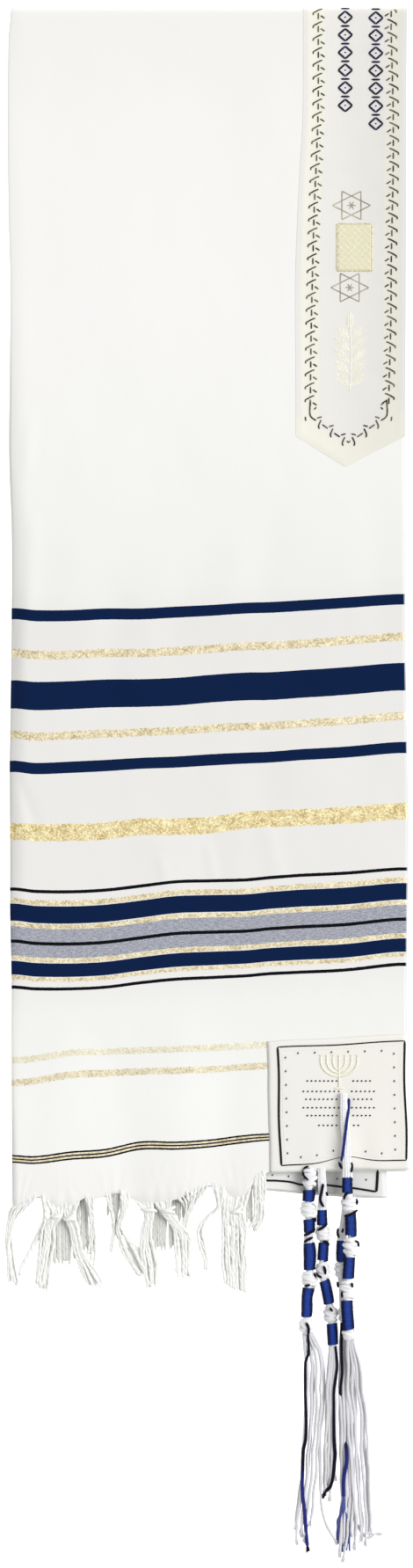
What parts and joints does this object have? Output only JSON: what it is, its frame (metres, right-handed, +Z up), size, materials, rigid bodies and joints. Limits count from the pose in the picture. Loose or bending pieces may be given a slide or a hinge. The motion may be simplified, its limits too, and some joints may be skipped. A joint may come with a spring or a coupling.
{
  "type": "folded prayer shawl",
  "caption": "White striped prayer shawl lying flat, folded lengthwise and across, with a neckband, corner patches, knotted fringe and wound corner tassels.",
  "frame": {"origin": "middle of the folded cloth's underside, on the surface it lies on", "axes": "+X from the lengthwise fold towards the selvedges, +Y from the tassels towards the top fold, +Z up out of the surface"},
  "size_m": [0.3106, 1.1892, 0.0169],
  "materials": {
    "striped_cloth": "soft matt woven cloth, white with navy and metallic gold stripes",
    "satin_trim": "cream satin with woven and embroidered ornament",
    "white_yarn": "soft white twisted yarn, knotted",
    "blue_winding": "royal blue twisted yarn wound tight between white double knots"
  },
  "bodies": {
    "root": {"shawl_front_layer": "striped_cloth", "shawl_hidden_layers": "striped_cloth", "neckband": "satin_trim", "corner_patch_front": "satin_trim", "corner_patch_second": "satin_trim", "corner_patch_underside": "satin_trim", "fringe_bunch_1": "white_yarn", "fringe_bunch_2": "white_yarn", "fringe_bunch_3": "white_yarn", "fringe_bunch_4": "white_yarn", "fringe_bunch_5": "white_yarn", "fringe_bunch_6": "white_yarn", "fringe_bunch_7": "white_yarn", "fringe_bunch_8": "white_yarn", "fringe_behind": "white_yarn", "tassel_front_stem": "blue_winding", "tassel_front_strands": "white_yarn", "tassel_left_stem": "blue_winding", "tassel_left_strands": "white_yarn", "tassel_middle_stem": "blue_winding", "tassel_middle_strands": "white_yarn", "tassel_behind_stem": "blue_winding", "tassel_behind_strands": "white_yarn"}
  },
  "joints": []
}
